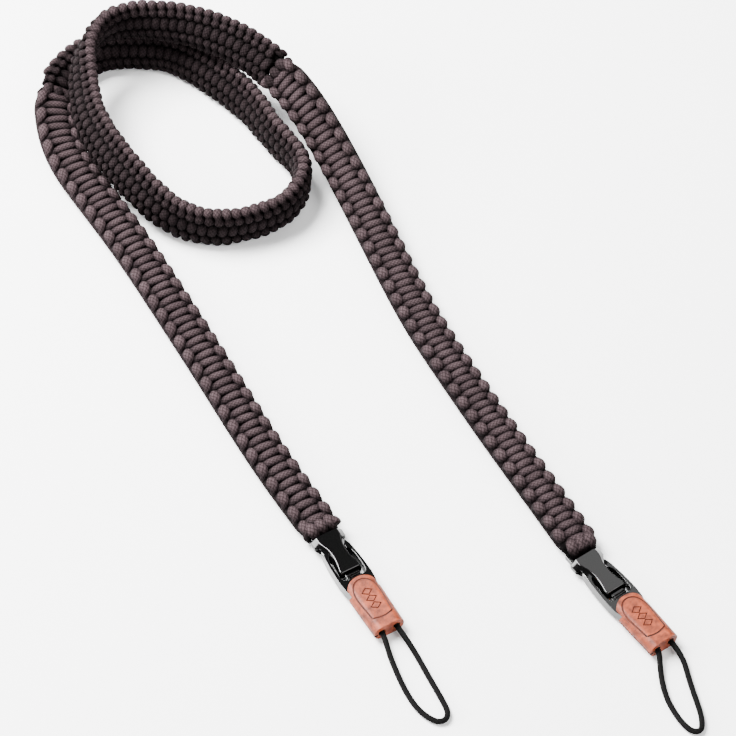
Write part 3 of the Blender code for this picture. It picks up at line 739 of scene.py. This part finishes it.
plugPlan = {
    # half outline from above, from the fork round the prong's head to the tail: along, across, in mm
    "outline": (
        (26.6, 4.0), (26.0, 5.4), (24.4, 6.0), (20.0, 6.1), (16.0, 6.0), (13.4, 5.6), (11.6, 4.9), (9.6, 4.3),
        (8.0, 4.1), (6.6, 4.7), (6.6, 5.8), (7.8, 6.4), (9.5, 6.8), (11.5, 6.9), (14.0, 7.1), (17.0, 7.4),
        (22.0, 7.6), (27.0, 7.7), (31.5, 7.3), (35.2, 6.2), (45.6, 5.0),
    ),
    "headEnd": 12.0, "headThickness": 3.6, "headDraw": 0.12,  # share that is left of the head's length
    "thickness": 5.1, "rounding": 0.45,
    "tongue": ((13.2, -3.4, -1.55), (27.5, 3.4, 1.55)), "tongueRounding": 0.4,
    "ribs": (24.6, 25.6, 26.6), "ribLength": 6.4, "ribWidth": 0.5, "ribFoot": 0.5, "ribHeight": 2.9,
    "ribRounding": 0.15,
}


def makePlug(side, plan, end):
    half, head = plan["thickness"] / 2, plan["headThickness"] / 2
    outline = bothSides(plan["outline"])
    drawnBack = [(max(x, plan["headEnd"] - plan["headDraw"] * (plan["headEnd"] - x)), y) for x, y in outline]
    levels = [(-half, drawnBack), (-head, outline), (head, outline), (half, drawnBack)]
    plug = layered(side + "_plug", levels, acetal)
    roundEdges(plug, plan["rounding"], 2, 50)
    combine(plug, block("tongue", *plan["tongue"], plan["tongueRounding"], acetal), "UNION")
    for x in plan["ribs"]:
        low = (x - plan["ribWidth"] / 2, -plan["ribLength"] / 2, plan["ribFoot"])
        high = (x + plan["ribWidth"] / 2, plan["ribLength"] / 2, plan["ribHeight"])
        combine(plug, block("rib", low, high, plan["ribRounding"], acetal), "UNION")
    smoothBy(plug, 35)
    settle(plug, end)
    return plug


leatherLook = {
    "face": "#833a21", "dark": "#4e1f10", "edge": "#ab6138", "pressed": "#1c0804", "seamShade": "#050302",
    "mottle": 3.846, "pebble": 0.7, "pebbleDepth": 0.12,  # mm
    "grain": 0.5, "slightGrain": 0.2,
}


def tannedLeather(look, name, light, dark, grain):
    # vegetable-tanned cowhide: satin, mottled, with a fine pebbled grain; cut edges are paler and
    # tooled lines darker, both smoother
    made, tree, shader = newMaterial(name, Roughness=0.5, IOR=1.5, Specular_IOR_Level=0.2)
    place = addNode(tree, "ShaderNodeTexCoord")
    mottle = addNode(tree, "ShaderNodeTexNoise",
                     {"Scale": 1 / (look["mottle"] * mm), "Detail": 4.0, "Roughness": 0.6},
                     {0: place.outputs["Object"]})
    tone = addNode(tree, "ShaderNodeMapRange", {1: 0.35, 2: 0.65}, {0: mottle.outputs[0]})
    colour = addNode(tree, "ShaderNodeMix", {6: linearColour(look[dark]), 7: linearColour(look[light])},
                     {0: tone.outputs[0]}, data_type="RGBA")
    pebbles = addNode(tree, "ShaderNodeTexVoronoi", {"Scale": 1 / (look["pebble"] * mm)},
                      {0: place.outputs["Object"]})
    bump = addNode(tree, "ShaderNodeBump", {"Strength": look[grain], "Distance": look["pebbleDepth"] * mm},
                   {"Height": pebbles.outputs["Distance"]})
    tree.links.new(colour.outputs[2], shader.inputs["Base Color"])
    tree.links.new(bump.outputs[0], shader.inputs["Normal"])
    return made


leather = tannedLeather(leatherLook, "leather, vegetable-tanned", "face", "dark", "grain")
cutLeather = tannedLeather(leatherLook, "leather, cut edge", "edge", "face", "slightGrain")
# the seam's slot is coloured near-black: painted shade in the gap between the leather's layers
seamShadeLeather = tannedLeather(leatherLook, "leather seam, painted shade", "seamShade", "seamShade", "slightGrain")
pressedLeather = tannedLeather(leatherLook, "leather, pressed line", "pressed", "dark", "slightGrain")

sleevePlan = {
    "start": 27.7, "length": 27.8, "width": 15.4, "endWidth": 14.6, "thickness": 8.0, "wall": 1.4,  # mm
    "arch": 7.8, "archSpare": 0.3, "glued": 9.5, "bore": 1.8, "holes": 3.6, "edge": 0.3,
    "seam": 1.2, "seamDrop": 0.8, "seamPast": 0.3,
    "rings": (7.8, 16.68, 25.8),  # mm from the start, where the sides get corners to taper by
    # pressed lines: mm from the start and from the middle
    "lineRadius": 0.42, "lineRise": 0.08, "lineStep": 0.4, "borderInset": 2.1,
    "borderSides": ((22.0, 4.9), (18.0, 5.2), (13.0, 5.6)), "borderTop": 1.9, "borderArch": 7.4,
    "bowHalf": 4.7, "bowDepth": 1.0,
    "lozenges": (8.8, 12.7, 16.6), "lozenge": 2.4, "lozengeWide": 0.7, "lozengeRise": 0.06,
}


def sleeveTop(plan, across):
    # height of the sleeve's upper side at a place across it
    radius = plan["thickness"] / 2
    over = max(0.0, abs(across) - (plan["width"] / 2 - radius))
    return (radius**2 - min(over, radius)**2) ** 0.5


def pressedLines(plan):
    # a border that follows the arch, and a bow above the lower end
    start, half = plan["start"], plan["width"] / 2 - plan["borderInset"]
    side = [(start + along, across) for along, across in plan["borderSides"]]
    arch = [(start + plan["borderTop"] + plan["borderArch"] * (1 - cos(radians(a))), half * sin(radians(a)))
            for a in np.linspace(-80, 80, 17)]
    border = [(x, -y) for x, y in side] + arch + side[::-1]
    low, wide = plan["borderSides"][0]
    bow = [(start + low + plan["bowDepth"] * cos(y / wide * pi / 2), y)
           for y in np.linspace(-plan["bowHalf"], plan["bowHalf"], 9)]
    return border, bow


def makeSleeve(side, plan, end):
    half, tall = plan["width"] / 2, plan["thickness"] / 2
    start, far = plan["start"], plan["start"] + plan["length"]
    section = [(y * (half - tall) + tall * cos(radians(a)), tall * sin(radians(a)))
               for y, turns in ((1, np.linspace(-90, 90, 17)), (-1, np.linspace(90, 270, 17))) for a in turns]
    sleeve = plate(side + "_sleeve", section, start, far, leather)
    sleeve.rotation_euler = (pi / 2, 0, pi / 2)
    bpy.ops.object.transform_apply(location=False, rotation=True, scale=False)
    bpy.ops.object.mode_set(mode="EDIT")
    for along in plan["rings"]:
        bpy.ops.mesh.select_all(action="SELECT")
        bpy.ops.mesh.bisect(plane_co=((start + along) * mm, 0, 0), plane_no=(1, 0, 0))
    bpy.ops.object.mode_set(mode="OBJECT")
    taper = 1 - plan["endWidth"] / plan["width"]
    for corner in sleeve.data.vertices:
        share = max(0.0, (corner.co.x / mm - start - plan["arch"]) / (plan["length"] - plan["arch"]))
        corner.co.y *= 1 - taper * share
    arc = [(start + plan["arch"] * (1 - cos(radians(a))), (half + plan["archSpare"]) * sin(radians(a)))
           for a in np.linspace(-90, 90, 33)]
    combine(sleeve, plate("arch", [(start - 2, -half - 1), *arc, (start - 2, half + 1)], -tall - 1, tall + 1,
                          cutLeather), "DIFFERENCE")
    roundEdges(sleeve, plan["edge"], 2, 40)
    inner, endInner = half - plan["wall"], plan["endWidth"] / 2 - plan["wall"]
    shoulder = start + plan["arch"]
    hollow = bothSides([(start - 2, half + 1), (shoulder - plan["wall"], half + 1), (shoulder, inner),
                        (far - plan["glued"], endInner)])
    room = tall - plan["wall"]
    combine(sleeve, plate("hollow", hollow, -room, room, cutLeather), "DIFFERENCE")
    # a slot along the lower side, its walls coloured near-black as painted shade
    slotLow = (start - 1, -half - 1, -plan["seamDrop"] - plan["seam"] / 2)
    slotHigh = (far + 1, plan["seamPast"] - endInner, plan["seam"] / 2 - plan["seamDrop"])
    combine(sleeve, block("seam", slotLow, slotHigh, 0, seamShadeLeather), "DIFFERENCE")
    for way in (1, -1):
        deselectAll()
        bpy.ops.mesh.primitive_cylinder_add(
            vertices=32, radius=plan["bore"] * mm, depth=(plan["glued"] + 3) * mm,
            location=((far - plan["glued"] / 2) * mm, way * plan["holes"] * mm, 0), rotation=(0, pi / 2, 0))
        bore = bpy.context.object
        bpy.ops.object.transform_apply(location=True, rotation=True, scale=True)
        bore.data.materials.append(cutLeather)
        combine(sleeve, bore, "DIFFERENCE")
    for line in pressedLines(plan):
        rows = []
        for x, y in line:
            narrow = 1 - taper * max(0, x - shoulder) / (far - shoulder)
            rows.append((x, y, sleeveTop(plan, y / narrow) + plan["lineRise"]))
        points, _ = evenPoints(np.array(rows) * mm, plan["lineStep"] * mm)
        cutter = tubesObject("line", [sweep(points, plan["lineRadius"] * mm, 8)], pressedLeather)
        combine(sleeve, cutter, "DIFFERENCE")
    for along in plan["lozenges"]:
        deselectAll()
        bpy.ops.mesh.primitive_torus_add(
            major_segments=4, minor_segments=8, major_radius=plan["lozenge"] * mm,
            minor_radius=plan["lineRadius"] * mm,
            location=((start + along) * mm, 0, (tall + plan["lozengeRise"]) * mm))
        lozenge = bpy.context.object
        lozenge.scale = (plan["lozengeWide"], 1.0, 1.0)
        bpy.ops.object.transform_apply(location=True, rotation=True, scale=True)
        lozenge.data.materials.append(pressedLeather)
        combine(sleeve, lozenge, "DIFFERENCE")
    smoothBy(sleeve, 35)
    settle(sleeve, end)
    return sleeve


for side, end in ends.items():
    for piece, node, slot in (
        (makeSocket(side, socketPlan, end), "_buckle_socket", "buckle_plastic"),
        (makePlug(side, plugPlan, end), "_buckle_plug", "buckle_plastic"),
        (makeSleeve(side, sleevePlan, end), "_leather_sleeve", "sleeve_leather"),
    ):
        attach(piece, "root")
        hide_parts(side + node)
        print("piece", piece.name, len(piece.data.polygons))
print("stage: ends")

# Floor and light

studio = {
    "floor": "#fcfcfc", "floorSize": 8.0, "floorDrop": 0.0002, "world": 0.12,  # metres; world: strength
    # power in watts, side in metres, place
    "lights": {
        "key": (200.0, 0.9, (-0.8, 0.5, 1.35)),
        "fill": (36.0, 1.2, (0.9, -0.9, 1.2)),
        "left strip": (26.0, 0.5, (-1.1, 0.0, 0.48)),
        "back": (5.5, 0.8, (0.56, 0.86, 1.2)),
    },
}


def addStudio(plan):
    deselectAll()
    bpy.ops.mesh.primitive_plane_add(size=plan["floorSize"], location=(0, 0, -plan["floorDrop"]))
    floor = bpy.context.object
    floor.name = "floor"
    # uncoated paper, pressed smooth: white and without gloss
    paper, _, shader = newMaterial("paper, uncoated", Roughness=0.9)
    shader.inputs["Base Color"].default_value = linearColour(plan["floor"])
    floor.data.materials.append(paper)
    world = bpy.data.worlds.new("soft room")
    world.use_nodes = True
    world.node_tree.nodes["Background"].inputs[0].default_value = (1, 1, 1, 1)
    world.node_tree.nodes["Background"].inputs[1].default_value = plan["world"]
    bpy.context.scene.world = world
    for name, (power, size, place) in plan["lights"].items():
        data = bpy.data.lights.new(name, "AREA")
        data.energy = power
        data.size = size
        light = bpy.data.objects.new(name, data)
        bpy.context.scene.collection.objects.link(light)
        light.location = place
        x, y, z = place  # each light looks at the frame's zero
        light.rotation_euler = (np.arctan2(np.hypot(x, y), z), 0, np.arctan2(-y, -x) - pi / 2)


addStudio(studio)
print("stage: floor and light")
